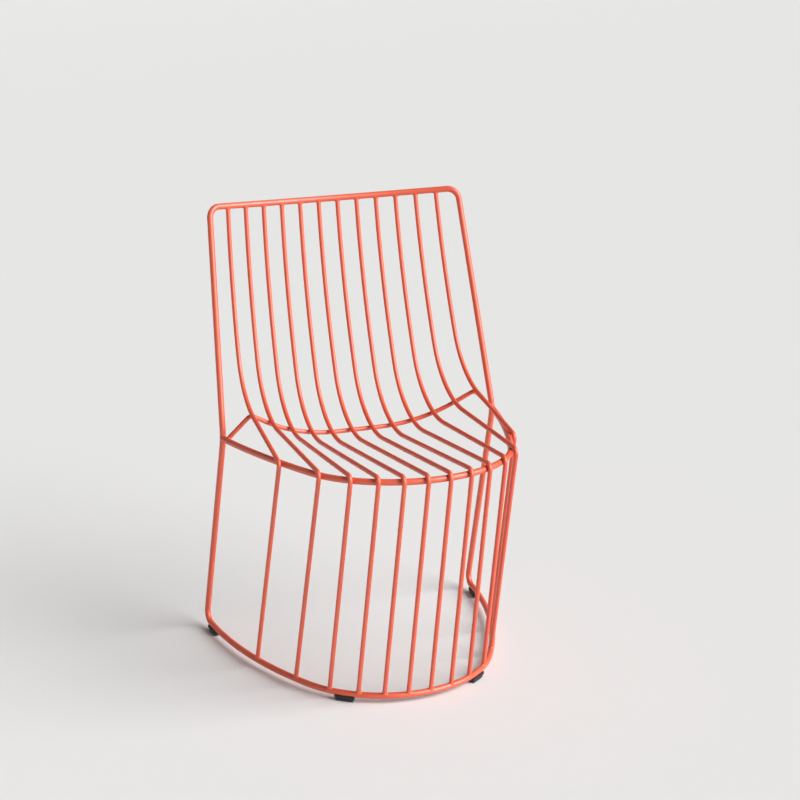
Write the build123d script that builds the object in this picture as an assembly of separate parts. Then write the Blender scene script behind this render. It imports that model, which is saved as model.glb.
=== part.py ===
from build123d import *
import copy
import os
from math import acos, asin, atan2, cos, degrees, hypot, radians, sin, sqrt, tan

# Outdoor side chair bent and welded from round steel rod, standing on four pegged glides.
# Millimetres, +Z up. The sitter faces -Y and +X is on the sitter's left.
# While the chair is drawn, Y is measured from the two kinks of the frame, where the back meets the seat.
# At the end it is moved so that the origin lies on the floor at the middle of its box.
# Widths, heights and reaches are to the rods' axes unless the comment says otherwise.

# Rods
frame_d = 11.0             # frame, base and front hoop
slat_d = 8.0               # slats and rear seat rail
weld_gap = 0.2             # space between two rods that a weld closes

# Back frame: feet, legs, kinks, uprights, top corners and top rail in one bent rod
foot_half_width = 263.0    # sharp foot corner, from the middle of the chair
foot_setback = 130.0       # foot corners behind the kinks
foot_r = 17.5              # bend radius
kink_in = 6.0              # kinks nearer to the middle than the feet
kink_height = 409.5
kink_r = 60.0              # bend radius
top_in = 21.5              # sharp top corners nearer to the middle than the kinks
top_height = 798.0
top_setback = 132.5        # top corners behind the kinks
top_corner_r = 22.0        # bend radius
top_rail_sweep = 21.5      # half angle of the rail's arc, degrees
top_rail_tilt = 14.0       # the rail's plane drops this much towards the back, degrees

# Base: a flat arch on the floor side, closed by the feet of the back frame
base_reach = 309.5         # front of the arch, ahead of the kinks
base_front_r = 196.0
base_toe_in = 3.0          # heading of its rear ends, degrees

# Front seat hoop: an arch that carries the front of the seat
hoop_reach = 392.5         # front of the arch, ahead of the kinks
hoop_front_r = 194.0
hoop_toe_in = 10.5         # heading of its rear ends, degrees
hoop_tilt = 3.9            # rise towards the front, degrees

# Rear seat rail: a shallow cradle under the slats, with a short link at each end
rail_setback = 2.5         # middle of the rail, behind the kinks
rail_drop = 11.5           # middle of the rail, below the kinks
rail_run = 141.0           # sharp lower bends, nearer to the middle than the kinks
rail_bend_r = 257.0
rail_rise = 33.0           # slope of its outer runs, degrees
rail_lean = 23.0           # its plane leans forward this much, degrees
rail_peak_r = 10.0         # bend radius where the rail turns down into its link
link_setback = 13.0        # link's landing place on the hoop, ahead of the kinks

# Slats: back, seat and front drop of each one in a single bent rod
slat_count = 12
top_margin = 37.5          # outermost slat's top, in from the top corner
base_margin = 36.4         # outermost slat's foot, in from the foot corner
slat_toe_in = 0.85         # turn of the outermost slat's plane, degrees
back_r = 1325.0            # long curve of the backrest
back_bow = 14.2            # a slat meets the top rail this much steeper than the backrest's chord, degrees
seat_bend_r = 145.0        # curve from the backrest into the seat

# Glides: plastic saddles under the base, each held by a peg in a blind hole of the rod
glide_drop = 8.5           # bottom of the base rod above the floor
glide_length = 36.0        # at the top
glide_taper = 2.5          # each end leans in by this much at the floor
glide_wall = 1.3           # saddle's sides, outside the rod
glide_lip = 2.2            # how far the saddle reaches above the rod's underside
glide_fit = 0.1            # clearance around the rod and the peg
glide_pad_w = 10.0         # width of the pad on the floor
glide_pad_h = 3.8          # height of the pad below the saddle's shoulder
glide_shoulder = 1.8       # height of the slope between the pad and the saddle
peg_d = 4.0
peg_rise = 6.5             # top of the peg above the rod's underside
front_glide_spread = 245.0  # left to right
rear_glide_gap = 0.5       # between a foot bend and its glide

# Welds
weld_lip = 0.4             # thickness of a bead's edge on the rod it surrounds
weld_leg = 1.1             # thickness of a bead's foot
weld_length = 2.5          # how far a bead runs up the rod it surrounds
nugget_d = 6.0             # spot weld between crossing rods
weld_skin = 0.05           # a weld's faces are drawn this far off the rods that it joins
bead_share = 0.95          # a bead's foot is no wider than this share of the rod that it lands on
hoop_bead_reach = 1.8      # how far the bead of a hoop end runs past the cut

# Searches
halvings = 48              # steps that narrow down a crossing
rounds = 12                # passes that settle a slat's shape
nose_rounds = 5            # passes that settle its nose
touching = 1e-6            # points nearer than this count as one

frame_r = frame_d / 2
slat_r = slat_d / 2
base_height = glide_drop + frame_r
wrap_r = frame_r + slat_r + weld_gap
half_count = (slat_count - 1) / 2
kink_half_width = foot_half_width - kink_in
top_half_width = kink_half_width - top_in
rail_height = kink_height - rail_drop
rail_flat_half = kink_half_width - rail_run
top_pitch = (top_half_width - top_margin) / half_count
base_pitch = (foot_half_width - base_margin) / half_count


def bend(before, corner, after, radius):
    """Arc of the given radius, tangent to both legs of a corner."""
    a = (before - corner).normalized()
    b = (after - corner).normalized()
    half = acos(a.dot(b)) / 2
    reach = radius / tan(half)
    inset = radius / sin(half) - radius
    return ThreePointArc(corner + a * reach, corner + (a + b).normalized() * inset, corner + b * reach)


def bent(points, radii):
    """Edges of a rod's axis: straight runs between points, with a bend at each inner one."""
    edges = []
    at = points[0]
    for before, corner, after, radius in zip(points, points[1:], points[2:], radii):
        arc = bend(before, corner, after, radius)
        if (arc @ 0 - at).length > touching:
            edges.append(Line(at, arc @ 0))
        edges.append(arc)
        at = arc @ 1
    if (points[-1] - at).length > touching:
        edges.append(Line(at, points[-1]))
    return edges


def rod(edges, radius):
    """Round bar along a chain of tangent edges."""
    path = Wire(edges)
    section = Plane(origin=path @ 0, z_dir=path % 0) * Circle(radius)
    return sweep(section, path=path)


def mirrored(point):
    return Vector(-point.X, point.Y, point.Z)


def crossing(path, start, end, origin, normal):
    """Point and heading where a path, between two places along it, passes through a plane."""
    low, high = start, end
    low_side = (path @ low - origin).dot(normal) > 0
    for _ in range(halvings):
        middle = (low + high) / 2
        if ((path @ middle - origin).dot(normal) > 0) == low_side:
            low = middle
        else:
            high = middle
    return path @ low, path % low


def end_clearance(heading, other_heading, own_r, other_r):
    """Distance from another rod's axis at which a square-cut rod end just clears that rod."""
    lean = abs(heading.dot(other_heading))
    return (other_r + weld_gap + own_r * lean) / sqrt(1 - lean ** 2)


class Arch:
    """Three-centred arch in plan, from (half_width, 0) round the front at (0, -reach) to the mirror side.

    Its rear ends head forward and toe_in inward. Angles are measured below +X, and place puts a plan
    point into space.
    """

    def __init__(self, half_width, reach, front_r, toe_in, place):
        self.toe = radians(toe_in)
        self.front_r = front_r
        self.depth = reach - front_r
        square = half_width ** 2 + self.depth ** 2 - front_r ** 2
        self.side_r = square / (2 * (half_width * cos(self.toe) - self.depth * sin(self.toe) - front_r))
        self.side_x = half_width - self.side_r * cos(self.toe)
        self.side_y = self.side_r * sin(self.toe)
        self.meet = atan2(self.side_y + self.depth, -self.side_x)
        self.place = place

    def side(self, angle):
        return self.place(self.side_x + self.side_r * cos(angle), self.side_y - self.side_r * sin(angle))

    def backward(self, angle):
        """Heading along the left side arc, towards its rear end."""
        return (self.place(sin(angle), cos(angle)) - self.place(0, 0)).normalized()

    def edges(self, start=0.0):
        """Left side, front and right side arcs, beginning a given length along from the rear ends."""
        first = self.toe + start / self.side_r
        ends = [self.side(angle) for angle in (first, (first + self.meet) / 2, self.meet)]
        nose = self.place(0, -self.depth - self.front_r)
        return [ThreePointArc(*ends), ThreePointArc(ends[2], nose, mirrored(ends[2])),
                ThreePointArc(*[mirrored(point) for point in reversed(ends)])]


# Back frame
top_corner = Vector(top_half_width, top_setback, top_height)
kink = Vector(kink_half_width, 0, kink_height)
foot = Vector(foot_half_width, foot_setback, base_height)
sweep_angle = radians(top_rail_sweep)
tilt_angle = radians(top_rail_tilt)
rail_in = Vector(-cos(sweep_angle), sin(sweep_angle) * cos(tilt_angle), -sin(sweep_angle) * sin(tilt_angle))
rail_start = bend(kink, top_corner, top_corner + rail_in, top_corner_r) @ 1
top_rail_r = rail_start.X / sin(sweep_angle)
base_in = Vector(-sin(radians(base_toe_in)), -cos(radians(base_toe_in)), 0)
base_end = bend(kink, foot, foot + base_in, foot_r) @ 1


def top_rail(x):
    """Point of the top rail's axis at a distance from the middle."""
    drop = top_rail_r * (cos(asin(x / top_rail_r)) - cos(sweep_angle))
    return rail_start + Vector(x - rail_start.X, drop * cos(tilt_angle), -drop * sin(tilt_angle))


def top_rail_heading(x):
    """Heading of the top rail's axis at a distance from the middle."""
    slope = -tan(asin(x / top_rail_r))
    return Vector(1, slope * cos(tilt_angle), -slope * sin(tilt_angle)).normalized()


side_points = [base_end, foot, kink, top_corner, rail_start]
bend_radii = [foot_r, kink_r, top_corner_r]
left_points = [mirrored(point) for point in reversed(side_points)]
top_arc = ThreePointArc(rail_start, top_rail(0), mirrored(rail_start))
frame_edges = bent(side_points, bend_radii) + [top_arc] + bent(left_points, bend_radii[::-1])
back_frame = rod(frame_edges, frame_r)

# Base
base = Arch(base_end.X, base_reach + base_end.Y, base_front_r, base_toe_in,
            lambda x, y: Vector(x, base_end.Y + y, base_height))
base_path = Wire(base.edges())
base_hoop = rod(base.edges(), frame_r)

# Front seat hoop, cut square just short of the frame's bend
rise = radians(hoop_tilt)
hoop = Arch(kink_half_width, hoop_reach / cos(rise), hoop_front_r, hoop_toe_in,
            lambda x, y: Vector(x, y * cos(rise), kink_height - y * sin(rise)))
kink_arc = bend(top_corner, kink, foot, kink_r)
hoop_back = hoop.backward(hoop.toe)
hoop_end = end_clearance(hoop_back, kink_arc % 0.5, frame_r, frame_r) - (kink_arc @ 0.5 - kink).dot(hoop_back)
hoop_path = Wire(hoop.edges(hoop_end))
front_seat_hoop = rod(hoop.edges(hoop_end), frame_r)

# Rear seat rail, whose peak lies under the outermost slat
level = (top_height - kink_height) / (top_height - base_height)
peak_x = half_count * (top_pitch + (base_pitch - top_pitch) * level)
up_lean = Vector(0, -sin(radians(rail_lean)), cos(radians(rail_lean)))
rail_bend = Vector(rail_flat_half, rail_setback, rail_height)
rail_peak = rail_bend + (Vector(1, 0, 0) + up_lean * tan(radians(rail_rise))) * (peak_x - rail_flat_half)
landing_angle = hoop.toe + link_setback / hoop.side_r
landing = hoop.side(landing_angle)
link = (landing - rail_peak).normalized()
link_end = landing - link * end_clearance(link, hoop.backward(landing_angle), slat_r, frame_r)
rail_points = [link_end, rail_peak, rail_bend, mirrored(rail_bend), mirrored(rail_peak), mirrored(link_end)]
rail_radii = [rail_peak_r, rail_bend_r, rail_bend_r, rail_peak_r]
rail_edges = bent(rail_points, rail_radii)
rail_path = Wire(rail_edges)
rear_seat_rail = rod(rail_edges, slat_r)


def polar(centre, radius, angle):
    return centre + Vector(cos(angle), sin(angle)) * radius


def flat_arc(centre, radius, start, end):
    return ThreePointArc(*[polar(centre, radius, angle) for angle in (start, (start + end) / 2, end)])


def rod_offset(normal_2d, plane, other_heading, distance):
    """In-plane offset that keeps a skew rod's axis at the given true distance from the slat's axis."""
    normal = plane.x_dir * normal_2d.X + plane.y_dir * normal_2d.Y
    across = other_heading.dot(plane.z_dir)
    return distance * hypot(other_heading.dot(normal), across) / abs(across)


def slat(number):
    """Axis edges of one slat, its end headings and its weld places, for a slat number from the middle."""
    top_point = top_rail(number * top_pitch)
    base_point, base_heading = crossing(base_path, 0.5, 0, Vector(number * base_pitch, 0, 0), Vector(1, 0, 0))
    toe = radians(slat_toe_in) * number / half_count
    back = Vector(-sin(toe), cos(toe), 0)
    plane = Plane(origin=base_point, x_dir=back, z_dir=back.cross(top_point - base_point))
    rail_at, rail_heading = crossing(rail_path, 0.5, 0, base_point, plane.z_dir)
    hoop_at, hoop_heading = crossing(hoop_path, 0.5, 0, base_point, plane.z_dir)
    top_2d, rail_2d, hoop_2d = [plane.to_local_coords(point) for point in (top_point, rail_at, hoop_at)]

    def in_space(direction):
        return plane.x_dir * direction.X + plane.y_dir * direction.Y

    # Backrest curve and seat bend: two arcs that meet at a tangent, the second resting on the rear rail
    chord = top_2d - rail_2d
    lean = atan2(chord.X, chord.Y) - radians(back_bow)
    back_centre = top_2d + Vector(-cos(lean), sin(lean)) * back_r
    offset = slat_d + weld_gap
    for _ in range(rounds):
        span = rail_2d - back_centre
        a, b = back_r - seat_bend_r, seat_bend_r + offset
        along = (a ** 2 - b ** 2 + span.length ** 2) / (2 * span.length)
        aside = sqrt(a ** 2 - along ** 2)
        forward = span.normalized()
        seat_centre = back_centre + forward * along + Vector(-forward.Y, forward.X) * aside
        offset = rod_offset((seat_centre - rail_2d).normalized(), plane, rail_heading, slat_d + weld_gap)
    turn = atan2(seat_centre.Y - back_centre.Y, seat_centre.X - back_centre.X)

    # Seat line: tangent to the seat bend and resting on the front hoop
    slope = 0.0
    for _ in range(rounds):
        normal = Vector(-sin(slope), cos(slope))
        rest_2d = hoop_2d + normal * rod_offset(normal, plane, hoop_heading, wrap_r)
        span = seat_centre - rest_2d
        slope = atan2(span.Y, span.X) - asin(seat_bend_r / span.length)
    run = Vector(cos(slope), sin(slope))
    seat_end = slope - radians(90)
    seat_2d = polar(seat_centre, seat_bend_r, seat_end)

    # Front drop: straight from the base and past the outside of the hoop, which the nose bend clears too
    def front_drop(distance):
        steep = atan2(hoop_2d.Y, hoop_2d.X)
        for _ in range(rounds):
            beside = rod_offset(Vector(-sin(steep), cos(steep)), plane, hoop_heading, distance)
            steep = atan2(hoop_2d.Y, hoop_2d.X) + asin(beside / hoop_2d.length)
        line = Vector(cos(steep), sin(steep))
        share = (rest_2d.Y * line.X - rest_2d.X * line.Y) / (run.X * line.Y - run.Y * line.X)
        return line, bend(seat_2d, rest_2d + run * share, Vector(0, 0), wrap_r)

    reach = wrap_r
    for _ in range(nose_rounds):
        drop, nose_arc = front_drop(reach)
        reach += max(0.0, wrap_r - plane.from_local_coords(nose_arc).distance_to(hoop_path))

    # Square-cut ends, just short of the top rail and the base
    up = in_space(Vector(sin(lean), cos(lean)))
    down = in_space(drop * -1)
    top_stop = end_clearance(up, top_rail_heading(number * top_pitch), slat_r, frame_r)
    base_stop = end_clearance(down, base_heading, slat_r, frame_r)
    top_end = -lean - top_stop / back_r

    flat_edges = [
        flat_arc(back_centre, back_r, top_end, turn),
        flat_arc(seat_centre, seat_bend_r, turn, seat_end),
        Line(seat_2d, nose_arc @ 0),
        nose_arc,
        Line(nose_arc @ 1, drop * base_stop)]
    ends = {"top": (plane.from_local_coords(polar(back_centre, back_r, top_end)), up, top_stop),
            "base": (plane.from_local_coords(drop * base_stop), down, base_stop)}
    inward = (seat_centre - rail_2d).normalized()
    spots = {
        "rail": (rail_at, rail_heading, plane.from_local_coords(rail_2d + inward * offset),
                 in_space(Vector(inward.Y, -inward.X))),
        "hoop": (hoop_at, hoop_heading, plane.from_local_coords(rest_2d), in_space(run))}
    return [plane.from_local_coords(edge) for edge in flat_edges], ends, spots


def bead(end, heading, near, far, near_r, far_r, rods):
    """Weld collar around a square-cut rod end, filling the space to the rod that it meets."""
    cone = Cone(near_r, far_r, near + far, align=(Align.CENTER, Align.CENTER, Align.MIN))
    return Plane(origin=end - heading * near, z_dir=heading) * cone - rods


def nugget(a, a_heading, b, b_heading, rods):
    """Spot weld between two crossing rods, along the shortest line between their axes."""
    across = a_heading.cross(b_heading).normalized()
    gap = (b - a).dot(across)
    lean = a_heading.dot(b_heading)
    flat = (b - a) - across * gap
    shift = (flat.dot(a_heading) - flat.dot(b_heading) * lean) / (1 - lean ** 2)
    start = a + a_heading * shift
    pin = Cylinder(nugget_d / 2, abs(gap), align=(Align.CENTER, Align.CENTER, Align.MIN))
    return Plane(origin=start, z_dir=across * gap) * pin - rods


def glide(centre, axis_r, angle):
    """Saddle and peg under an arc of the base rod, at an angle about the arc's centre, and the peg's hole."""
    top = glide_drop + glide_lip
    outer = frame_r + glide_fit + glide_wall
    pad = glide_pad_w / 2
    right = [(pad, 0), (pad, glide_pad_h), (outer, glide_pad_h + glide_shoulder), (outer, top)]
    outline = right + [(-x, z) for x, z in reversed(right)]
    section = make_face(Polyline(*outline, close=True)) - Pos(0, base_height) * Circle(frame_r + glide_fit)
    overrun = glide_length + 2 * glide_taper
    first = angle - overrun / axis_r / 2
    start = Plane(origin=Vector(cos(first), sin(first)) * axis_r, x_dir=Vector(cos(first), sin(first)),
                  z_dir=Vector(sin(first), -cos(first)))
    strip = revolve(start * section, axis=Axis.Z, revolution_arc=degrees(overrun / axis_r))
    side = [(glide_length / 2 - glide_taper, 0), (glide_length / 2, top)]
    shape = make_face(Polyline(*side, *[(-x, z) for x, z in reversed(side)], close=True))
    outward = Vector(cos(angle), sin(angle))
    middle = Plane(origin=outward * axis_r, x_dir=Vector(-sin(angle), cos(angle)), z_dir=outward)
    saddle = strip & extrude(middle * shape, amount=frame_d, both=True)
    upright = (Align.CENTER, Align.CENTER, Align.MIN)
    peg_start = Pos(centre + outward * axis_r + Vector(0, 0, glide_pad_h))
    peg_length = glide_drop + peg_rise - glide_pad_h
    peg = peg_start * Cylinder(peg_d / 2, peg_length, align=upright)
    hole = peg_start * Cylinder(peg_d / 2 + glide_fit, peg_length + glide_fit, align=upright)
    return Pos(centre) * saddle + peg, hole


# Slats and their welds, on the sitter's left and mirrored to the right
pieces = {"back_frame": back_frame, "base_hoop": base_hoop, "front_seat_hoop": front_seat_hoop,
          "rear_seat_rail": rear_seat_rail}
welds = {"top_rail_welds": [], "rear_rail_welds": [], "front_hoop_welds": [], "base_welds": []}
bead_r = min(slat_r + weld_leg, frame_r * bead_share)
frame_skin = rod(frame_edges, frame_r + weld_skin)
base_skin = rod(base.edges(), frame_r + weld_skin)
hoop_skin = rod(hoop.edges(hoop_end - weld_skin), frame_r + weld_skin)
rail_skin = rod(bent([link_end + link * weld_skin, *rail_points[1:-1], mirrored(link_end + link * weld_skin)],
                     rail_radii), slat_r + weld_skin)
for step in range(slat_count // 2):
    edges, ends, spots = slat(half_count - step)
    bar = rod(edges, slat_r)
    pieces[f"slat_{step + 1:02d}"] = mirror(bar, Plane.YZ)
    pieces[f"slat_{slat_count - step:02d}"] = bar
    bar_skin = rod(edges, slat_r + weld_skin)
    for group, end, other in (("top_rail_welds", "top", frame_skin), ("base_welds", "base", base_skin)):
        at, heading, stop = ends[end]
        rods = [bar_skin, other]
        welds[group].append(bead(at, heading, weld_length, stop, slat_r + weld_lip, bead_r, rods))
    welds["rear_rail_welds"].append(nugget(*spots["rail"], [bar_skin, rail_skin]))
    welds["front_hoop_welds"].append(nugget(*spots["hoop"], [bar_skin, hoop_skin]))

# Welds of the hoop's ends to the frame and of the rail's links to the hoop
hoop_start = hoop_path @ 0
welds["hoop_end_welds"] = [bead(hoop_start, hoop_back, weld_length, hoop_bead_reach, frame_r + weld_lip,
                                frame_r + weld_leg, [hoop_skin, frame_skin])]
link_stop = (landing - link_end).length
welds["link_welds"] = [bead(link_end, link, weld_length, link_stop, slat_r + weld_lip, bead_r,
                            [rail_skin, hoop_skin])]
for group, beads in welds.items():
    both = beads + [mirror(one, Plane.YZ) for one in beads]
    pieces[group] = Compound(children=[solid for one in both for solid in one.solids()])

# Glides
front_centre = Vector(0, base_end.Y - base.depth, 0)
front_angle = -acos(front_glide_spread / 2 / base.front_r)
side_centre = Vector(base.side_x, base_end.Y + base.side_y, 0)
rear_angle = -base.toe - (rear_glide_gap + glide_length / 2) / base.side_r
for name, centre, axis_r, angle in (("front", front_centre, base.front_r, front_angle),
                                    ("rear", side_centre, base.side_r, rear_angle)):
    shoe, hole = glide(centre, axis_r, angle)
    pieces[f"glide_{name}_left"] = shoe
    pieces[f"glide_{name}_right"] = mirror(shoe, Plane.YZ)
    pieces["base_hoop"] = pieces["base_hoop"] - [hole, mirror(hole, Plane.YZ)]

# Move the origin to the floor at the middle of the chair's box, and write the pieces
box = Compound(children=[copy.copy(piece) for piece in pieces.values()]).bounding_box()
to_origin = Pos(0, -box.center().Y, -box.min.Z)
os.makedirs("parts", exist_ok=True)
for name, piece in pieces.items():
    export_step(to_origin * piece, f"parts/{name}.step")
print("box", box.size, "moved by", to_origin.position.Y)
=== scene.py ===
# %% [markdown]
# # An outdoor chair of bent steel rod
# The real chair is a drawing in wire: one thick rod goes round the back and down to the feet, two thick
# arches carry the seat and the floor side, and twelve thinner rods run unbroken from the top rail, through
# the seat, to the base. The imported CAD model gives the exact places. Here every rod is made again as a
# smooth round bar, because a CAD mesh shows its facets, and the welds, glides and coating get their looks.

import bpy
import numpy as np
from mathutils import Matrix


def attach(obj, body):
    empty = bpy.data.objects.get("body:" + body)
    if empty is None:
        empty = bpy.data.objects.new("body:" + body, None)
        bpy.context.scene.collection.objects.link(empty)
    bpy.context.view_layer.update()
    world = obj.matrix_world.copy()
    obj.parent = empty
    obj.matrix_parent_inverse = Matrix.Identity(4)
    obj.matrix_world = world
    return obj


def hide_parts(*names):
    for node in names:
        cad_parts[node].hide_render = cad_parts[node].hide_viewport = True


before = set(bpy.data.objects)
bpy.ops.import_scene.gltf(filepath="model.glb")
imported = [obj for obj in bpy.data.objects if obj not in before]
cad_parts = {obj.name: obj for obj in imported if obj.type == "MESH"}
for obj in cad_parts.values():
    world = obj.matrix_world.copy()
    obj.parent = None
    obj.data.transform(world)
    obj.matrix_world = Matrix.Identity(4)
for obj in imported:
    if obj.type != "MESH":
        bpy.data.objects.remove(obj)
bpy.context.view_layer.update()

# %% [markdown]
# ## Sizes
# A bent rod is described by the corners that its axis would have without bends, and by the bend radii. All
# the sizes below are the chair's own, in metres and radians. While it is drawn, Y is measured from the two
# kinks of the frame, where the back meets the seat. The whole chair is moved to the frame's origin later.

# %% Driving sizes
MM = 0.001
FRAME_R, SLAT_R = 5.5 * MM, 4.0 * MM
WELD_GAP = 0.2 * MM
WRAP_R = FRAME_R + SLAT_R + WELD_GAP
SLAT_COUNT = 12
HALF_COUNT = (SLAT_COUNT - 1) / 2

top_corner = np.array([235.5, 132.5, 798.0]) * MM
kink = np.array([257.0, 0.0, 409.5]) * MM
foot = np.array([263.0, 130.0, 14.0]) * MM
top_corner_r, kink_r, foot_r = 22.0 * MM, 60.0 * MM, 17.5 * MM
top_rail_sweep, top_rail_tilt = np.radians(21.5), np.radians(14.0)

base_reach, base_front_r, base_toe = 309.5 * MM, 196.0 * MM, np.radians(3.0)
hoop_reach, hoop_front_r, hoop_toe = 392.5 * MM, 194.0 * MM, np.radians(10.5)
hoop_tilt = np.radians(3.9)

rail_bend = np.array([116.0, 2.5, 398.0]) * MM
rail_bend_r, rail_peak_r = 257.0 * MM, 10.0 * MM
rail_rise, rail_lean = np.radians(33.0), np.radians(23.0)
link_setback = 13.0 * MM

top_spread, base_spread = 396.0 * MM, 453.2 * MM
top_pitch, base_pitch = top_spread / (SLAT_COUNT - 1), base_spread / (SLAT_COUNT - 1)
slat_toe = np.radians(0.85)
back_r, back_bow = 1325.0 * MM, np.radians(14.2)
seat_bend_r = 145.0 * MM
print("rods", 2 * FRAME_R / MM, "and", 2 * SLAT_R / MM, "mm, slats", SLAT_COUNT)

# %% [markdown]
# ## Paths
# Rod benders make only straight runs and arcs, so a path here is an array of points along such runs and
# arcs. A short turn between neighbouring points keeps the outline of a bend smooth. The same functions with
# a much finer turn give the lines on which crossings are measured.

# %% Path helpers
SMOOTH, FINE = np.radians(3.0), np.radians(0.05)
SAME_POINT = 1e-7
LEFT, BACK, UP = np.eye(3)
MIRROR = np.array([-1.0, 1.0, 1.0])


def unit(v):
    """The vector, or each row of vectors, divided by its length."""
    return v / np.linalg.norm(v, axis=-1, keepdims=True)


def arc(centre, u, v, radius, start, end, turn):
    """Points c + r (cos(t) u + sin(t) v) for t from start to end, no further apart than turn."""
    count = max(2, int(np.ceil(abs(end - start) / turn)) + 1)
    t = np.linspace(start, end, count)[:, None]
    return centre + radius * (np.cos(t) * u + np.sin(t) * v)


def bend(before, corner, after, radius, turn):
    """Arc tangent to both legs of a corner: its centre lies r / sin(half) along the corner's bisector."""
    a, b = unit(before - corner), unit(after - corner)
    half = np.arccos(a @ b) / 2
    centre = corner + unit(a + b) * radius / np.sin(half)
    u = unit(corner + a * radius / np.tan(half) - centre)
    return arc(centre, u, -a, radius, 0.0, np.pi - 2 * half, turn)


def bent_path(points, radii, turn=SMOOTH):
    """Straight runs between the points, with an arc of the given radius at each inner one."""
    inner = [bend(a, b, c, r, turn) for a, b, c, r in zip(points, points[1:], points[2:], radii)]
    path = np.concatenate([points[:1], *inner, points[-1:]])
    keep = np.linalg.norm(np.diff(path, axis=0), axis=1) > SAME_POINT
    return path[np.concatenate([[True], keep])]


def both_sides(half):
    """A path from the left end to the middle, continued by its mirror image."""
    return np.concatenate([half, (half * MIRROR)[-2::-1]])


def crossing(path, origin, normal):
    """Where a path first passes through a plane, and its heading there, by straight interpolation."""
    side = (path - origin) @ normal
    i = np.flatnonzero((side[:-1] > 0) != (side[1:] > 0))[0]
    share = side[i] / (side[i] - side[i + 1])
    return path[i] + share * (path[i + 1] - path[i]), unit(path[i + 1] - path[i])


print("paths turn at most", round(float(np.degrees(SMOOTH)), 2), "degrees between points")

# %% [markdown]
# ## The thick rods
# The base and the front seat hoop are three-centred arches: two long side arcs and one tight front arc that
# meet at a tangent. Given the rear ends, their heading, the front and the front radius, only one side radius
# fits, and it comes from the distance between the two centres. The top rail is one shallow arc in a tilted
# plane, tangent to the bends at its corners.

# %% Arches
def arch_centres(half_width, reach, front_r, toe):
    """Side radius and both centres: |side centre - front centre| = side_r - front_r fixes side_r."""
    depth = reach - front_r
    spare = half_width * np.cos(toe) - depth * np.sin(toe) - front_r
    side_r = (half_width**2 + depth**2 - front_r**2) / (2 * spare)
    side = np.array([half_width - side_r * np.cos(toe), side_r * np.sin(toe), 0.0])
    return side_r, side, np.array([0.0, -depth, 0.0])


def arch_half(half_width, reach, front_r, toe, start, turn):
    """Plan points from a rear end to the nose: a side arc, then a front arc on the line of both centres."""
    side_r, side, front = arch_centres(half_width, reach, front_r, toe)
    meet = np.arctan2(side[1] - front[1], -side[0])
    side_arc = arc(side, LEFT, -BACK, side_r, toe + start / side_r, meet, turn / 2)
    front_arc = arc(front, LEFT, -BACK, front_r, meet, np.pi / 2, turn)
    return np.concatenate([side_arc, front_arc[1:]])


base_in = np.array([-np.sin(base_toe), -np.cos(base_toe), 0.0])
base_end = bend(kink, foot, foot + base_in, foot_r, SMOOTH)[-1]
base_sizes = base_end[0], base_reach + base_end[1], base_front_r, base_toe


def base_half(turn):
    """Half of the base, level at the height of its rod."""
    return arch_half(*base_sizes, 0.0, turn) + np.array([0.0, base_end[1], foot[2]])


def hoop_half(start, turn):
    """Half of the front hoop: the plan turned about the line through the kinks, z = -y tan(tilt)."""
    plan = arch_half(kink[0], hoop_reach / np.cos(hoop_tilt), hoop_front_r, hoop_toe, start, turn)
    rise = kink[2] - plan[:, 1] * np.sin(hoop_tilt)
    return np.stack([plan[:, 0], plan[:, 1] * np.cos(hoop_tilt), rise], -1)


print("base starts at", np.round(base_end / MM, 1), "mm")

# %% Top rail and back frame
RAIL_POINTS = 16
rail_in = np.array([-np.cos(top_rail_sweep), np.sin(top_rail_sweep) * np.cos(top_rail_tilt),
                    -np.sin(top_rail_sweep) * np.sin(top_rail_tilt)])
rail_start = bend(kink, top_corner, top_corner + rail_in, top_corner_r, SMOOTH)[-1]
top_rail_r = rail_start[0] / np.sin(top_rail_sweep)


def top_rail(x):
    """Axis points of the top rail at distances x from the middle, on an arc in its tilted plane: the arc
    stands back by R (sqrt(1 - (x / R)^2) - cos(sweep)) from its ends."""
    x = np.asarray(x, float)
    stand = top_rail_r * (np.sqrt(1 - (x / top_rail_r) ** 2) - np.cos(top_rail_sweep))
    return np.stack([x, rail_start[1] + stand * np.cos(top_rail_tilt),
                     rail_start[2] - stand * np.sin(top_rail_tilt)], -1)


frame_corners = np.array([base_end, foot, kink, top_corner, rail_start])
side_run = bent_path(frame_corners, [foot_r, kink_r, top_corner_r])
rail_run = top_rail(top_rail_r * np.sin(np.linspace(top_rail_sweep, 0, RAIL_POINTS))[1:])
back_frame_axis = both_sides(np.concatenate([side_run, rail_run]))
print("top rail radius", round(top_rail_r / MM, 1), "mm, frame", len(back_frame_axis), "points")


# %% Base and hoop
def end_clearance(heading, other, own_r, other_r):
    """Stop distance of a square-cut end from another rod's axis: (R + gap + r cos) / sin of their angle."""
    lean = abs(heading @ other)
    return (other_r + WELD_GAP + own_r * lean) / np.sqrt(1 - lean**2)


kink_arc = bend(top_corner, kink, foot, kink_r, FINE)
kink_mid = kink_arc[len(kink_arc) // 2]
kink_heading = unit(kink_arc[-1] - kink_arc[0])
hoop_back = unit(-np.diff(hoop_half(0.0, FINE)[:2], axis=0)[0])
hoop_stop = end_clearance(hoop_back, kink_heading, FRAME_R, FRAME_R)
hoop_start = hoop_stop - (kink_mid - kink) @ hoop_back
base_axis = both_sides(base_half(SMOOTH))
hoop_axis = both_sides(hoop_half(hoop_start, SMOOTH))
base_line, hoop_line = base_half(FINE), hoop_half(hoop_start, FINE)
print("base", len(base_axis), "hoop", len(hoop_axis), "points")

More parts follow.
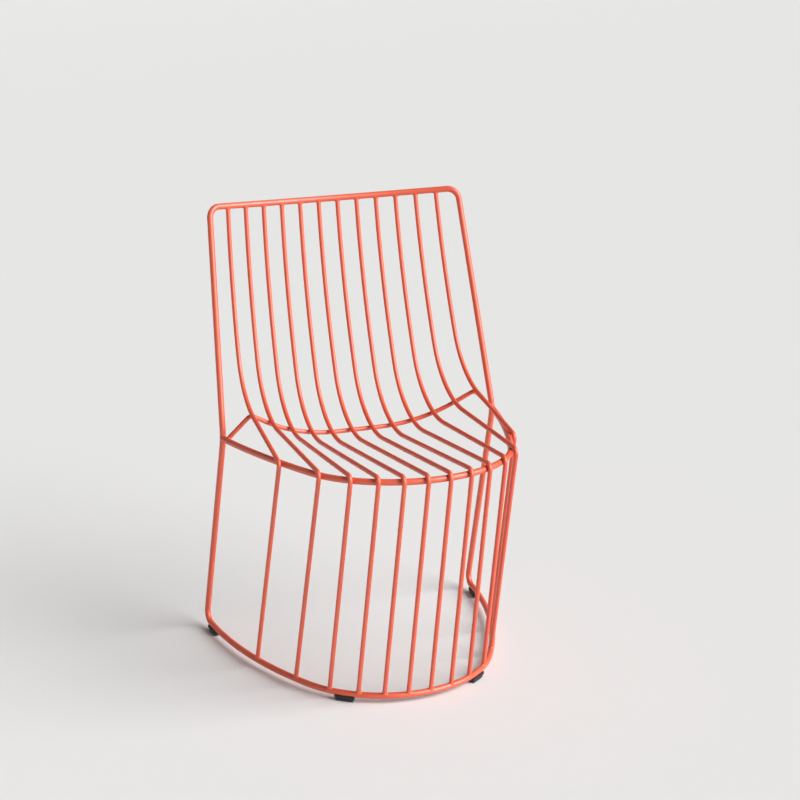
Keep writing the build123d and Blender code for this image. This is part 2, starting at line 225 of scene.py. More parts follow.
# %% [markdown]
# ## The rear seat rail
# Under the slats, where the backrest turns into the seat, a thin rod forms a shallow cradle. Its ends rise,
# turn down sharply at the outermost slats and land on the front hoop as short links. Like every square-cut
# end here, a link stops where its rim just clears the rod that it meets, and a weld fills the rest.

# %% Rear seat rail
level = (top_corner[2] - kink[2]) / (top_corner[2] - foot[2])
peak_x = HALF_COUNT * (top_pitch + (base_pitch - top_pitch) * level)
up_lean = np.array([0.0, -np.sin(rail_lean), np.cos(rail_lean)])
rail_peak = rail_bend + (peak_x - rail_bend[0]) * (LEFT + np.tan(rail_rise) * up_lean)
landing, past_landing = hoop_half(link_setback, FINE)[:2]
landing_heading = unit(landing - past_landing)
link = unit(landing - rail_peak)
link_end = landing - link * end_clearance(link, landing_heading, SLAT_R, FRAME_R)
rail_middle = rail_bend * (BACK + UP)
rail_points = np.array([link_end, rail_peak, rail_bend, rail_middle])
rail_radii = [rail_peak_r, rail_bend_r]
rail_axis = both_sides(bent_path(rail_points, rail_radii))
rail_line = bent_path(rail_points, rail_radii, FINE)
link_length = np.linalg.norm(link_end - rail_peak)
print("rail peak", np.round(rail_peak / MM, 1), "link", round(link_length / MM, 1), "mm")

# %% [markdown]
# ## The slats
# Each slat lies in one plane, as a bender makes it. In that plane it is a long arc for the backrest, a
# tighter arc that rests on the rear rail, a straight seat, a tight nose round the front hoop and a straight
# drop to the base. Two circles that touch inside each other have their centres as far apart as their radii
# differ, which gives the centre of the seat bend. A rod that crosses the plane at a slant needs a wider
# offset in the plane, and the offset depends on the bend in turn, so each of these steps is repeated a few
# times until it settles.

# %% Backrest, seat and nose
SEAT_ROUNDS, SLOPE_ROUNDS, DROP_ROUNDS = 6, 12, 6


def slanted(offset, direction, plane, other):
    """In-plane offset along a direction for a true distance to a rod that crosses the plane at a slant: the
    distance times |(n, a)| / |a|, for the parts n and a of the rod's heading on the direction and through."""
    axes, across = plane
    through = other @ across
    return offset * np.hypot(other @ (direction @ axes), through) / abs(through)


def seat_bend(top, rail, plane, rail_heading):
    """Lean and centre of the backrest's arc, centre of the seat bend, and the way in to it from the rail
    with the distance between rail and slat. The centres lie back_r - seat_bend_r apart."""
    chord = top - rail
    back_lean = np.arctan2(chord[0], chord[1]) - back_bow
    back_centre = top + back_r * np.array([-np.cos(back_lean), np.sin(back_lean)])
    span = rail - back_centre
    far = np.linalg.norm(span)
    offset = 2 * SLAT_R + WELD_GAP
    for _ in range(SEAT_ROUNDS):
        a, b = back_r - seat_bend_r, seat_bend_r + offset
        along = (a**2 - b**2 + far**2) / (2 * far)
        aside = np.array([-span[1], span[0]]) / far * np.sqrt(a**2 - along**2)
        seat_centre = back_centre + span / far * along + aside
        inward = unit(seat_centre - rail)
        offset = slanted(2 * SLAT_R + WELD_GAP, inward, plane, rail_heading)
    return back_lean, back_centre, seat_centre, inward, offset


def seat_slope(seat_centre, hoop, plane, hoop_heading):
    """Slope of the straight seat, tangent under the seat bend, and the point where it rests on the hoop."""
    slope = 0.0
    for _ in range(SLOPE_ROUNDS):
        normal = np.array([-np.sin(slope), np.cos(slope)])
        rest = hoop + normal * slanted(WRAP_R, normal, plane, hoop_heading)
        span = seat_centre - rest
        slope = np.arctan2(span[1], span[0]) - np.arcsin(seat_bend_r / np.linalg.norm(span))
    return slope, rest


def front_drop(distance, turn, seat, hoop, plane, hoop_heading):
    """Direction from the base past the hoop at a distance, and the nose arc that joins it to the seat."""
    seat_end, rest, run = seat
    plumb = np.arctan2(hoop[1], hoop[0])
    steep = plumb
    for _ in range(DROP_ROUNDS):
        beside = np.array([-np.sin(steep), np.cos(steep)])
        wide = slanted(distance, beside, plane, hoop_heading)
        steep = plumb + np.arcsin(wide / np.linalg.norm(hoop))
    line = np.array([np.cos(steep), np.sin(steep)])
    share = (rest[1] * line[0] - rest[0] * line[1]) / (run[0] * line[1] - run[1] * line[0])
    return line, bend(seat_end, rest + run * share, np.zeros(2), WRAP_R, turn)


print("nose radius", round(WRAP_R / MM, 2), "mm, seat bend", round(seat_bend_r / MM, 1), "mm")

# %% One slat
REACH_ROUNDS = 5
BACK_TURN, SEAT_TURN, NOSE_TURN = np.radians(0.6), np.radians(2.0), np.radians(6.0)
CHECK_TURN = np.radians(1.0)
FLAT_X, FLAT_Y = np.eye(2)


def slat(number):
    """Axis, ends and weld places of one slat, counted from the middle of the chair. In its plane, x runs to
    the back and y up, from the point where the slat meets the base."""
    top = top_rail(number * top_pitch)
    base, base_heading = crossing(base_line, number * base_pitch * LEFT, LEFT)
    toe = slat_toe * number / HALF_COUNT
    back = np.array([-np.sin(toe), np.cos(toe), 0.0])
    across = unit(np.cross(back, top - base))
    axes = np.stack([back, np.cross(across, back)])
    plane = axes, across
    rail_at, rail_heading = crossing(rail_line, base, across)
    hoop_at, hoop_heading = crossing(hoop_line, base, across)
    flat_top, flat_rail, flat_hoop = (axes @ (point - base) for point in (top, rail_at, hoop_at))

    bends = seat_bend(flat_top, flat_rail, plane, rail_heading)
    back_lean, back_centre, seat_centre, inward, offset = bends
    turn_at = np.arctan2(*(seat_centre - back_centre)[::-1])
    slope, rest = seat_slope(seat_centre, flat_hoop, plane, hoop_heading)
    run = np.array([np.cos(slope), np.sin(slope)])
    seat_stop = slope - np.pi / 2
    seat_end = seat_centre + seat_bend_r * np.array([np.cos(seat_stop), np.sin(seat_stop)])

    nose_place = (seat_end, rest, run), flat_hoop, plane, hoop_heading
    reach = WRAP_R
    for _ in range(REACH_ROUNDS):
        drop, nose = front_drop(reach, CHECK_TURN, *nose_place)
        gaps = (base + nose @ axes)[:, None] - hoop_line[None]
        reach += max(0.0, WRAP_R - np.linalg.norm(gaps, axis=-1).min())
    drop, nose = front_drop(reach, NOSE_TURN, *nose_place)

    lean = np.array([np.sin(back_lean), np.cos(back_lean)]) @ axes
    rail_tangent = unit(top_rail(number * top_pitch + MM) - top_rail(number * top_pitch - MM))
    top_stop = end_clearance(lean, rail_tangent, SLAT_R, FRAME_R)
    base_stop = end_clearance(drop @ axes, base_heading, SLAT_R, FRAME_R)
    back_start = -back_lean - top_stop / back_r
    back_arc = arc(back_centre, FLAT_X, FLAT_Y, back_r, back_start, turn_at, BACK_TURN)
    seat_arc = arc(seat_centre, FLAT_X, FLAT_Y, seat_bend_r, turn_at, seat_stop, SEAT_TURN)
    flat = np.concatenate([back_arc, seat_arc[1:], nose, [drop * base_stop]])
    over_rail = base + (flat_rail + inward * offset) @ axes
    over_rail_heading = np.array([inward[1], -inward[0]]) @ axes
    return {
        "axis": base + flat @ axes,
        "across": across,
        "top": (base + flat[0] @ axes, lean, top, rail_tangent),
        "base": (base + flat[-1] @ axes, -drop @ axes, base, base_heading),
        "rail": (rail_at, rail_heading, over_rail, over_rail_heading),
        "hoop": (hoop_at, hoop_heading, base + rest @ axes, run @ axes)}


slats = [slat(HALF_COUNT - step) for step in range(SLAT_COUNT // 2)]
front = min(part["axis"][:, 1].min() for part in slats) - SLAT_R
hind = top_rail(0.0)[1] + FRAME_R
TO_ORIGIN = np.array([0.0, -(front + hind) / 2, 0.0])
print("depth", round((hind - front) / MM, 2), "mm, moved by", round(TO_ORIGIN[1] / MM, 3), "mm")

# %% [markdown]
# ## Skins
# Every surface of the chair is a grid of points: rings that follow one another. A bar is a circle carried
# along its axis, closed at both ends. A fixed reference direction for each rod keeps the rings from
# twisting. The grid is written as whole arrays, and each mesh is closed, with its faces outward.

# %% Grids
COAT, PLASTIC = "coral_coat", "glide_plastic"
NO_FANS = np.empty((0, 3), int)
shown = []


def grid_faces(rows, columns, ring=False):
    """Quads of a grid that closes round its columns, and round its rows too where ring is true."""
    r = np.arange(rows if ring else rows - 1)[:, None] * columns
    c = np.arange(columns)[None]
    r_next = (r + columns) % (rows * columns)
    c_next = (c + 1) % columns
    return np.stack([r + c, r + c_next, r_next + c_next, r_next + c], -1).reshape(-1, 4)


def capped(rings, first_pole, last_pole):
    """Points, quads and fans of a row of rings that is closed by a fan to a pole at each end."""
    rows, columns = rings.shape[:2]
    c = np.arange(columns)
    c_next = (c + 1) % columns
    low, high = np.full(columns, rows * columns), np.full(columns, rows * columns + 1)
    last = (rows - 1) * columns
    first_fan = np.stack([low, c_next, c], -1)
    last_fan = np.stack([high, last + c, last + c_next], -1)
    points = np.concatenate([rings.reshape(-1, 3), [first_pole, last_pole]])
    return points, grid_faces(rows, columns), np.concatenate([first_fan, last_fan])


def add_piece(name, skins, slot_name, node):
    """One smooth mesh object from a list of (points, quads, fans), riding on the chair for a CAD node."""
    points = np.concatenate([skin[0] for skin in skins])
    starts = np.cumsum([0] + [len(skin[0]) for skin in skins])
    faces = []
    for start, (_, quads, fans) in zip(starts, skins):
        faces += (quads + start).tolist() + (fans + start).tolist()
    mesh = bpy.data.meshes.new(name)
    mesh.from_pydata(points + TO_ORIGIN, [], faces)
    mesh.shade_smooth()
    piece = bpy.data.objects.new(name, mesh)
    bpy.context.scene.collection.objects.link(piece)
    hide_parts(node)
    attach(piece, "root")
    shown.append((piece, slot_name))


print("slots", COAT, "and", PLASTIC)

# %% [markdown]
# ## The rods
# The real rods are cold-drawn steel, bent on a bench: one long rod for the back and the feet, the base,
# the seat hoop, the rear rail and twelve slats. The right half of the slats is the mirror image of the left
# half, so each slat is drawn once and its mirror image is one more bar along mirrored points.

# %% Draw the rods
SIDES = 32
HOLD = 0.05 * MM
FRAME_FACING = np.array([0.0, -0.95, 0.3])
HOOP_FACING = np.array([0.0, np.sin(hoop_tilt), np.cos(hoop_tilt)])


def bar(axis, radius, reference):
    """Round bar: c + r (cos(t) N + sin(t) B), with N = unit(ref - (ref.T) T) and B = T x N along the axis.
    A second ring close to each end keeps the flat caps from tilting the shading of the sides."""
    first, last = unit(axis[1] - axis[0]), unit(axis[-1] - axis[-2])
    head, tail = [axis[0], axis[0] + HOLD * first], [axis[-1] - HOLD * last, axis[-1]]
    axis = np.concatenate([head, axis[1:-1], tail])
    step = unit(np.diff(axis, axis=0))
    heading = unit(np.concatenate([step[:1], step[:-1] + step[1:], step[-1:]]))
    n = unit(reference - (heading @ reference)[:, None] * heading)
    b = np.cross(heading, n)
    t = np.linspace(0, 2 * np.pi, SIDES, endpoint=False)[None, :, None]
    rings = axis[:, None] + radius * (np.cos(t) * n[:, None] + np.sin(t) * b[:, None])
    return capped(rings, axis[0], axis[-1])


add_piece("back_frame_rod", [bar(back_frame_axis, FRAME_R, FRAME_FACING)], COAT, "back_frame")
add_piece("base_rod", [bar(base_axis, FRAME_R, UP)], COAT, "base_hoop")
add_piece("seat_hoop_rod", [bar(hoop_axis, FRAME_R, HOOP_FACING)], COAT, "front_seat_hoop")
add_piece("rear_rail_rod", [bar(rail_axis, SLAT_R, BACK)], COAT, "rear_seat_rail")
for step, part in enumerate(slats):
    for number, side in ((SLAT_COUNT - step, 1.0), (step + 1, MIRROR)):
        rod = bar(part["axis"] * side, SLAT_R, part["across"] * side)
        add_piece(f"slat_rod_{number:02d}", [rod], COAT, f"slat_{number:02d}")
print(len(shown), "rods,", sum(len(piece.data.polygons) for piece, _ in shown), "faces")

# %% [markdown]
# ## Fillet welds
# Where a rod ends on another one, a bead of weld metal runs round it and the coating rounds it off. Seen at
# any angle round the rod, the bead is a small hollow curve from the rod's side to the other rod's skin. How
# far down that skin lies is where a line along the rod meets a cylinder. The bead's edges are sunk into both
# rods and its back is buried, so each bead is a closed ring. It never reaches past the other rod's side, and
# it always covers the rod's cut end. A hand-laid bead is never even, so its width ripples a little.

# %% Fillet shape
SUNK, EDGE_IN, OVERLAP = 0.3 * MM, 0.5 * MM, 2.0 * MM
BURIED = 3
RIPPLE, RIPPLE_WAVES, RIPPLE_DRIFT = 0.06, 11, 3
NEAR_ZERO = 1e-6
BEAD_ANGLES = np.linspace(0, 2 * np.pi, 72, endpoint=False)
HOLLOW = np.linspace(0, 1, 9)


def skin_depth(points, heading, at, along, radius, curve):
    """Distance s down the heading h to the skin of a rod, where |q + s h| = R across that rod:
    s = (-q.h - sqrt((q.h)^2 - h.h (q.q - R^2))) / h.h, plus the fall of a curved rod, curve x^2 / 2."""
    q = points - at
    x = q @ along
    flat = q - np.outer(x, along)
    h = heading - (heading @ along) * along
    qh, hh = flat @ h, h @ h
    s = (-qh - np.sqrt(np.maximum(qh**2 - hh * ((flat**2).sum(1) - radius**2), 0))) / hh
    return (s + curve * (x + s * (heading @ along)) ** 2 / 2)[:, None]


def fillet(place, own_r, other_r, legs, curve=0.0):
    """Bead (1-u)^2 foot + 2u(1-u) corner + u^2 toe, in radius and depth. The foot stands off by the leg
    across the other rod, blended to the leg along it by cos(t)^2 and kept within that rod's width. The toe
    lies the third leg above the corner, or the overlap above the cut end where that is higher."""
    end, heading, at, along = place
    side_leg, along_leg, up_leg = legs
    ahead = unit(along - (along @ heading) * heading)
    beside = np.cross(heading, ahead)
    t = BEAD_ANGLES[:, None]
    out = np.cos(t) * ahead + np.sin(t) * beside
    ripple = 1 + RIPPLE * np.sin(RIPPLE_WAVES * t + np.sin(RIPPLE_DRIFT * t))
    leg = (side_leg + (along_leg - side_leg) * np.cos(t) ** 2) * ripple
    room = (other_r - EDGE_IN) / np.maximum(np.abs(np.sin(t)), NEAR_ZERO) - own_r
    foot_out = own_r + np.minimum(leg, room)
    corner = skin_depth(end + own_r * out, heading, at, along, other_r, curve)
    foot_down = skin_depth(end + foot_out * out, heading, at, along, other_r, curve)
    toe = np.minimum(corner - up_leg, -OVERLAP)
    u = HOLLOW
    r = (1 - u) ** 2 * foot_out + (1 - (1 - u) ** 2) * own_r
    s = (1 - u) ** 2 * foot_down + 2 * u * (1 - u) * corner + u**2 * toe
    inside = np.broadcast_to(own_r - SUNK * np.array([1, BURIED]), (len(t), 2))
    r = np.concatenate([foot_out + SUNK / 2, r, inside], 1)
    s = np.concatenate([foot_down + SUNK, s, toe - SUNK, corner + BURIED * SUNK], 1)
    rings = end + r[..., None] * out[:, None] + s[..., None] * heading
    return rings.reshape(-1, 3), grid_faces(*rings.shape[:2], ring=True), NO_FANS


print("beads of", len(BEAD_ANGLES), "sections")

# %% Fillets at rod ends
# The legs of a bead lie across the other rod, along it, and up the rod that ends there.
SLAT_LEGS = 1.1 * MM, 2.9 * MM, 3.3 * MM
LINK_LEGS = 1.1 * MM, 2.0 * MM, 2.2 * MM
HOOP_LEGS = 0.0, 4.0 * MM, 4.5 * MM


def with_mirrors(places):
    """Weld places (point, direction, point, direction), then the same on the other side of the chair."""
    return places + [[v * MIRROR for v in place] for place in places]


for end, node in (("top", "top_rail_welds"), ("base", "base_welds")):
    places = with_mirrors([part[end] for part in slats])
    beads = [fillet(place, SLAT_R, FRAME_R, SLAT_LEGS) for place in places]
    add_piece(f"{end}_weld_beads", beads, COAT, node)
link_places = with_mirrors([(link_end, link, landing, landing_heading)])
link_beads = [fillet(place, SLAT_R, FRAME_R, LINK_LEGS) for place in link_places]
add_piece("link_weld_beads", link_beads, COAT, "link_welds")
hoop_places = with_mirrors([(hoop_axis[0], hoop_back, kink_mid, kink_heading)])
hoop_beads = [fillet(place, FRAME_R, FRAME_R, HOOP_LEGS, 1 / kink_r) for place in hoop_places]
add_piece("hoop_weld_beads", hoop_beads, COAT, "hoop_end_welds")
print("beads at", SLAT_COUNT, "slat tops and feet,", len(link_beads), "links,", len(hoop_beads), "hoop ends")

# %% [markdown]
# ## Spot welds
# Where two rods cross, resistance welding presses a small collar of metal out between them. It is a reel:
# widest where it meets each rod and narrower at its waist. Its two ends follow the rods' round sides and are
# sunk in them.

# %% Reels between crossing rods
WAIST, FLARE = 2.5 * MM, 0.8 * MM


def reel(a, a_way, a_r, b, b_way, b_r):
    """Ring of radius p = waist + flare (2u - 1)^2 about the shortest line between two axes, D apart. It runs
    from sqrt(a_r^2 - across_a^2) to D - sqrt(b_r^2 - across_b^2), where across is p square to that rod."""
    up = unit(np.cross(a_way, b_way))
    up = up * np.sign((b - a) @ up)
    span, lean = b - a, a_way @ b_way
    start = a + a_way * (span @ a_way - (span @ b_way) * lean) / (1 - lean**2)
    apart = span @ up
    beside = np.cross(up, a_way)
    t = np.linspace(0, 2 * np.pi, SIDES, endpoint=False)[:, None]
    out = np.cos(t) * a_way + np.sin(t) * beside
    end_r = WAIST + FLARE
    low = np.sqrt(a_r**2 - (end_r * (out @ beside)) ** 2) - SUNK
    high = apart - np.sqrt(b_r**2 - (end_r * (out @ np.cross(up, b_way))) ** 2) + SUNK
    u = HOLLOW[:, None]
    r = WAIST + FLARE * (2 * u - 1) ** 2
    z = low + u * (high - low)
    rings = start + r[..., None] * out + z[..., None] * up
    return capped(rings, start + up * low.mean(), start + up * high.mean())


for rod, rod_r, name, node in (("rail", SLAT_R, "rear_rail_spots", "rear_rail_welds"),
                               ("hoop", FRAME_R, "hoop_spots", "front_hoop_welds")):
    places = with_mirrors([part[rod] for part in slats])
    reels = [reel(at, way, rod_r, over, over_way, SLAT_R) for at, way, over, over_way in places]
    add_piece(name, reels, COAT, node)
    print(len(reels), "spot welds on the", rod)

# %% [markdown]
# ## The glides
# Four black saddles of moulded plastic keep the steel off the floor. Each one is a single moulding: a pad, a
# shoulder and two low lips that hold the rod from below, on a hidden peg. Its section is drawn once with
# rounded edges and carried along the curve of the base. Both ends lean in towards the floor, and there the
# section shrinks by the radius of the mould's edges.

# %% Glide section
PAD_X, PAD_Z = 5.0 * MM, 3.8 * MM
SHOULDER_X, SHOULDER_Z = 6.9 * MM, 5.6 * MM
GLIDE_TOP = 10.7 * MM
GROOVE_R = FRAME_R + 0.1 * MM
EDGE = 0.8 * MM
EDGE_TURN, GROOVE_TURN = np.radians(15.0), np.radians(6.0)
lip_x = np.sqrt(GROOVE_R**2 - (foot[2] - GLIDE_TOP) ** 2)
half_outline = np.array([(0, 0), (PAD_X, 0), (PAD_X, PAD_Z), (SHOULDER_X, SHOULDER_Z),
                         (SHOULDER_X, GLIDE_TOP), (lip_x, GLIDE_TOP)])
outer_side = bent_path(half_outline, [EDGE] * 4, EDGE_TURN)
lip_turn = np.arcsin(lip_x / GROOVE_R)
groove = arc(foot[2] * FLAT_Y, -FLAT_Y, FLAT_X, GROOVE_R, lip_turn, 0.0, GROOVE_TURN)
right_side = np.concatenate([outer_side, groove[1:]])
outline = np.concatenate([right_side, (right_side * np.array([-1, 1]))[-2:0:-1]])
print("glide section of", len(outline), "points")

# %% Glides
GLIDE_HALF, GLIDE_TAPER = 18.0 * MM, 2.5 * MM
FRONT_GLIDE_X, REAR_GLIDE_SETBACK = 122.5 * MM, 18.5 * MM
EDGE_RINGS, SPAN_RINGS = 6, 8


def saddle(centre, radius, angle):
    """Section (x, z) carried along an arc: c + (R + x)(cos a, sin a, 0) + z up, with a = angle - s / R. The
    ends are at s = half - taper (1 - z / top). Near them the section is inset by e (1 - sin b), and
    e (1 - cos b) away from the end."""
    along = unit(np.roll(outline, -1, 0) - np.roll(outline, 1, 0))
    inward = np.stack([-along[:, 1], along[:, 0]], -1)
    b = np.linspace(0, np.pi / 2, EDGE_RINGS)
    inset = np.concatenate([1 - np.sin(b), np.zeros(SPAN_RINGS), 1 - np.sin(b[::-1])]) * EDGE
    back_off = np.concatenate([1 - np.cos(b), np.ones(SPAN_RINGS), 1 - np.cos(b[::-1])]) * EDGE
    between = np.linspace(-1, 1, SPAN_RINGS + 2)[1:-1]
    share = np.concatenate([-np.ones(EDGE_RINGS), between, np.ones(EDGE_RINGS)])
    section = outline[None] + inset[:, None, None] * inward[None]
    reach = GLIDE_HALF - GLIDE_TAPER * (1 - section[..., 1] / GLIDE_TOP)
    a = angle - share[:, None] * (reach - back_off[:, None]) / radius
    far = radius + section[..., 0]
    rings = centre + np.stack([far * np.cos(a), far * np.sin(a), section[..., 1]], -1)
    ends = angle - np.array([-1, 1]) * (GLIDE_HALF - GLIDE_TAPER / 2) / radius
    ways = np.stack([np.cos(ends), np.sin(ends), 0 * ends], -1)
    return capped(rings, *(centre + radius * ways + UP * GLIDE_TOP / 2))


base_side_r, base_side, base_front = arch_centres(*base_sizes)
rear_of_base = base_end[1] * BACK
front_angle = np.arccos(FRONT_GLIDE_X / base_front_r)
side_angle = base_toe + REAR_GLIDE_SETBACK / base_side_r
for name, centre, radius, angle in (
        ("front_left", base_front, base_front_r, -front_angle),
        ("front_right", base_front, base_front_r, front_angle - np.pi),
        ("rear_left", base_side, base_side_r, -side_angle),
        ("rear_right", base_side * MIRROR, base_side_r, side_angle - np.pi)):
    glide = saddle(centre + rear_of_base, radius, angle)
    add_piece(f"{name}_saddle", [glide], PLASTIC, f"glide_{name}")
    print(name, "glide of", len(glide[0]), "points")

# %% [markdown]
# ## Finishes
# A finish is a small tree of nodes that all read the object's own coordinates, so it stays on the piece from
# any side. Four kinds of node are enough here: noise, a stretch of its range, a blend of two colours and a
# bump.

# %% Node helpers
NOISE_LOW, NOISE_HIGH = 0.35, 0.65


def blank(name):
    """A new material with its node tree, main shader and the object's own coordinates."""
    material = bpy.data.materials.new(name)
    material.use_nodes = True
    tree = material.node_tree
    place = tree.nodes.new("ShaderNodeTexCoord").outputs["Object"]
    return material, tree, tree.nodes["Principled BSDF"], place


def noise(tree, place, scale, detail):
    """Noise of that many cells per metre."""
    node = tree.nodes.new("ShaderNodeTexNoise")
    node.inputs["Scale"].default_value = scale
    node.inputs["Detail"].default_value = detail
    tree.links.new(place, node.inputs["Vector"])
    return node.outputs["Fac"]


def height_of(tree, place):
    """Height above the floor."""
    node = tree.nodes.new("ShaderNodeSeparateXYZ")
    tree.links.new(place, node.inputs["Vector"])
    return node.outputs["Z"]


def spread(tree, value, low, high, start=NOISE_LOW, end=NOISE_HIGH):
    """The value's range start to end, stretched to low to high."""
    node = tree.nodes.new("ShaderNodeMapRange")
    for name, number in (("From Min", start), ("From Max", end), ("To Min", low), ("To Max", high)):
        node.inputs[name].default_value = number
    tree.links.new(value, node.inputs["Value"])
    return node.outputs["Result"]


def combined(tree, operation, first, second):
    """The sum or product of two values, held between 0 and 1."""
    node = tree.nodes.new("ShaderNodeMath")
    node.operation = operation
    node.use_clamp = True
    tree.links.new(first, node.inputs[0])
    tree.links.new(second, node.inputs[1])
    return node.outputs["Value"]


def tint(tree, value, first, second):
    """A colour between two, by a value from 0 to 1."""
    node = tree.nodes.new("ShaderNodeMix")
    node.data_type = "RGBA"
    node.inputs["A"].default_value = (*first, 1)
    node.inputs["B"].default_value = (*second, 1)
    tree.links.new(value, node.inputs["Factor"])
    return node.outputs["Result"]


def relief(tree, value, height, below=None):
    """A bump of that height in metres, on top of another one."""
    node = tree.nodes.new("ShaderNodeBump")
    node.inputs["Distance"].default_value = height
    tree.links.new(value, node.inputs["Height"])
    if below:
        tree.links.new(below, node.inputs["Normal"])
    return node.outputs["Normal"]


print("noise is stretched from", NOISE_LOW, "to", NOISE_HIGH)

# %% [markdown]
# ## Powder coat and plastic
# Powder coating is sprayed as dry dust and melted on in an oven. It flows into an even satin skin with a
# faint orange peel about a millimetre across, and its colour is never quite the same along a rod. The
# plastic of the glides takes the dull grain of its mould and is rubbed paler where it slides on the floor.
# The counts of cells are per metre, and the second number is the detail of the noise.

# %% Powder coat
DEEP_CORAL, PALE_CORAL = (0.70, 0.092, 0.035), (0.76, 0.106, 0.042)
COAT_CLOUDS, COAT_PATCHES = (9, 3), (60, 4)
COAT_ROUGHNESS = 0.38, 0.46
COAT_SHINE = 1.0
PEEL, PEEL_HEIGHT = (900, 2), 0.1 * MM
SPECKS, SPECK_HEIGHT = (3600, 2), 0.025 * MM

coat, coat_tree, coat_skin, coat_place = blank("coral_powder_coat")
cloud = spread(coat_tree, noise(coat_tree, coat_place, *COAT_CLOUDS), 0, 1)
coral = tint(coat_tree, cloud, DEEP_CORAL, PALE_CORAL)
satin = spread(coat_tree, noise(coat_tree, coat_place, *COAT_PATCHES), *COAT_ROUGHNESS)
peel = relief(coat_tree, noise(coat_tree, coat_place, *PEEL), PEEL_HEIGHT)
specks = relief(coat_tree, noise(coat_tree, coat_place, *SPECKS), SPECK_HEIGHT, peel)
coat_tree.links.new(coral, coat_skin.inputs["Base Color"])
coat_tree.links.new(satin, coat_skin.inputs["Roughness"])
coat_tree.links.new(specks, coat_skin.inputs["Normal"])
coat_skin.inputs["Specular IOR Level"].default_value = COAT_SHINE
print("coat", coat.name, "with", len(coat_tree.nodes), "nodes")

# %% Glide plastic
BLACK, RUBBED = (0.012, 0.012, 0.013), (0.10, 0.098, 0.095)
SCUFF_START, SCUFF_END = 0.5 * MM, 4.0 * MM
SCUFFS, GRAIN_PATCHES = (900, 5), (300, 3)
PLASTIC_ROUGHNESS = 0.42, 0.58
GRAIN, GRAIN_HEIGHT = (3000, 3), 0.03 * MM

plastic, plastic_tree, plastic_skin, plastic_place = blank("moulded_glide_plastic")
near_floor = spread(plastic_tree, height_of(plastic_tree, plastic_place), 1, 0, SCUFF_START, SCUFF_END)
scuffs = spread(plastic_tree, noise(plastic_tree, plastic_place, *SCUFFS), 0, 1)
rubbed = tint(plastic_tree, combined(plastic_tree, "MULTIPLY", near_floor, scuffs), BLACK, RUBBED)
dull = spread(plastic_tree, noise(plastic_tree, plastic_place, *GRAIN_PATCHES), *PLASTIC_ROUGHNESS)
grain = relief(plastic_tree, noise(plastic_tree, plastic_place, *GRAIN), GRAIN_HEIGHT)
plastic_tree.links.new(rubbed, plastic_skin.inputs["Base Color"])
plastic_tree.links.new(dull, plastic_skin.inputs["Roughness"])
plastic_tree.links.new(grain, plastic_skin.inputs["Normal"])
print("plastic", plastic.name, "with", len(plastic_tree.nodes), "nodes")

# %% Dress the pieces
finishes = {COAT: coat, PLASTIC: plastic}
for piece, slot_name in shown:
    piece.data.materials.append(finishes[slot_name])
print(len(shown), "pieces dressed")

# %% [markdown]
# ## Stage
# The chair stands on a plain pale floor. Because it is looked at from all sides, the floor is a wide dish:
# flat round the chair and rising gently far away, so that it is its own backdrop and hides the horizon. Its
# profile is a straight run and an arc, turned once about the middle. The rise would be dark on the side that
# the light comes from, where it turns away from it, so what the camera and reflections see of the rise is
# one even pale colour.

# %% Floor and backdrop
FLAT_R, DISH_R, RISE_R = 1.5, 10.0, 8.0
DISH_END = np.radians(45.0)
DISH_SIDES = 96

rim = arc(np.array([DISH_R, RISE_R]), -FLAT_Y, FLAT_X, RISE_R, 0.0, DISH_END, SMOOTH)
profile = np.concatenate([[(FLAT_R, 0.0)], rim])
round_t = np.linspace(0, 2 * np.pi, DISH_SIDES, endpoint=False)
clockwise = np.stack([np.sin(round_t), np.cos(round_t), 0 * round_t], -1)
dish = profile[:, None, :1] * clockwise + profile[:, None, 1:] * UP
middle = np.arange(DISH_SIDES)[::-1].tolist()
dish_faces = grid_faces(len(profile), DISH_SIDES).tolist() + [middle]
stage_mesh = bpy.data.meshes.new("floor_and_backdrop")
stage_mesh.from_pydata(dish.reshape(-1, 3), [], dish_faces)
stage_mesh.shade_smooth()
stage = bpy.data.objects.new("floor_and_backdrop", stage_mesh)
bpy.context.scene.collection.objects.link(stage)
print("stage", len(profile), "by", DISH_SIDES, "points")

# %% Floor paint
FLOOR_COLOUR, BACKDROP_COLOUR = (0.78, 0.78, 0.775), (0.80, 0.80, 0.795)
FLOOR_ROUGHNESS, FLOOR_SHINE = 0.7, 0.1
BLEND_HEIGHT = 0.05

paint, paint_tree, paint_skin, paint_place = blank("pale_floor")
paint_skin.inputs["Base Color"].default_value = (*FLOOR_COLOUR, 1)
paint_skin.inputs["Roughness"].default_value = FLOOR_ROUGHNESS
paint_skin.inputs["Specular IOR Level"].default_value = FLOOR_SHINE
rays = paint_tree.nodes.new("ShaderNodeLightPath").outputs
seen = combined(paint_tree, "ADD", rays["Is Camera Ray"], rays["Is Glossy Ray"])
seen = combined(paint_tree, "ADD", seen, rays["Is Transmission Ray"])
on_rise = spread(paint_tree, height_of(paint_tree, paint_place), 0, 1, 0.0, BLEND_HEIGHT)
even = paint_tree.nodes.new("ShaderNodeEmission")
even.inputs["Color"].default_value = (*BACKDROP_COLOUR, 1)
either = paint_tree.nodes.new("ShaderNodeMixShader")
paint_tree.links.new(combined(paint_tree, "MULTIPLY", seen, on_rise), either.inputs[0])
paint_tree.links.new(paint_skin.outputs["BSDF"], either.inputs[1])
paint_tree.links.new(even.outputs["Emission"], either.inputs[2])
paint_tree.links.new(either.outputs["Shader"], paint_tree.nodes["Material Output"].inputs["Surface"])
stage_mesh.materials.append(paint)
print("floor", paint.name, "with", len(paint_tree.nodes), "nodes")

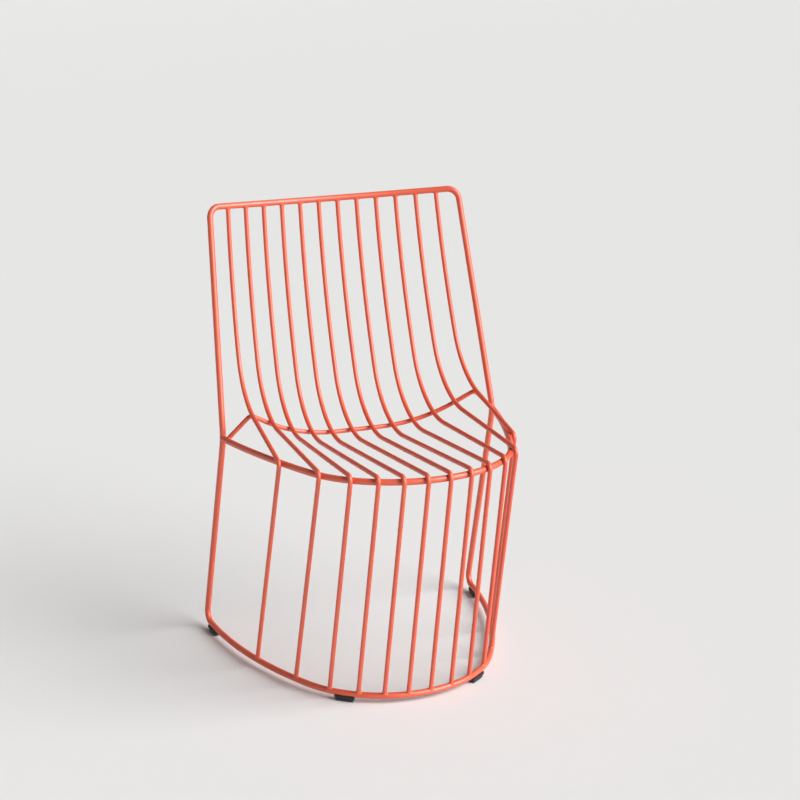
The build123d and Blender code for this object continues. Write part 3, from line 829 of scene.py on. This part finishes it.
# %% [markdown]
# ## Light and camera
# The photograph has soft daylight from the right. A lamp near the chair would burn a bright patch into the
# floor when it is seen from behind, so the daylight is a sun: it is the same everywhere, and its wide disc
# softens the shadows. A dim, pale sky fills in from all round. The camera's place and lens were found by
# fitting the chair's rods to the photograph.

# %% Camera
CAMERA = np.array([-1.18445, -3.37018, 1.64249])
YAW, PITCH = np.radians(19.901), np.radians(17.9235)
SENSOR, LENS = 36.0, 96.54
scene = bpy.context.scene
flat_ahead = np.array([np.sin(YAW), np.cos(YAW), 0.0])
flat_right = np.array([np.cos(YAW), -np.sin(YAW), 0.0])


def aim(eye, ahead):
    """Matrix of a lamp or camera at a point that looks along a direction: columns right, up, back, place."""
    ahead = unit(ahead)
    right = unit(np.cross(ahead, UP))
    matrix = np.eye(4)
    matrix[:3] = np.stack([right, np.cross(right, ahead), -ahead, eye], 1)
    return Matrix(matrix.tolist())


camera = bpy.data.objects.new("camera", bpy.data.cameras.new("camera"))
camera.data.sensor_width = SENSOR
camera.data.lens = LENS
camera.matrix_world = aim(CAMERA, flat_ahead * np.cos(PITCH) - UP * np.sin(PITCH))
scene.collection.objects.link(camera)
scene.camera = camera
scene.view_settings.view_transform = "Standard"
print("camera", np.round(CAMERA, 3), "lens", LENS)

# %% Light
SUN_STRENGTH, SUN_DISC = 5.0, np.radians(50.0)
SUN_RIGHT, SUN_FRONT, SUN_UP = 3.5, 1.4, 2.4
SKY_COLOUR, SKY_STRENGTH = (1.0, 0.99, 0.98), 0.17

sky = bpy.data.worlds.new("pale_sky")
sky.use_nodes = True
sky_light = sky.node_tree.nodes["Background"]
sky_light.inputs["Color"].default_value = (*SKY_COLOUR, 1)
sky_light.inputs["Strength"].default_value = SKY_STRENGTH
scene.world = sky

daylight = bpy.data.objects.new("daylight", bpy.data.lights.new("daylight", "SUN"))
daylight.data.energy = SUN_STRENGTH
daylight.data.angle = SUN_DISC
sun_from = flat_right * SUN_RIGHT - flat_ahead * SUN_FRONT + UP * SUN_UP
daylight.matrix_world = aim(sun_from, -sun_from)
scene.collection.objects.link(daylight)
print("sun", SUN_STRENGTH, "sky", SKY_STRENGTH)
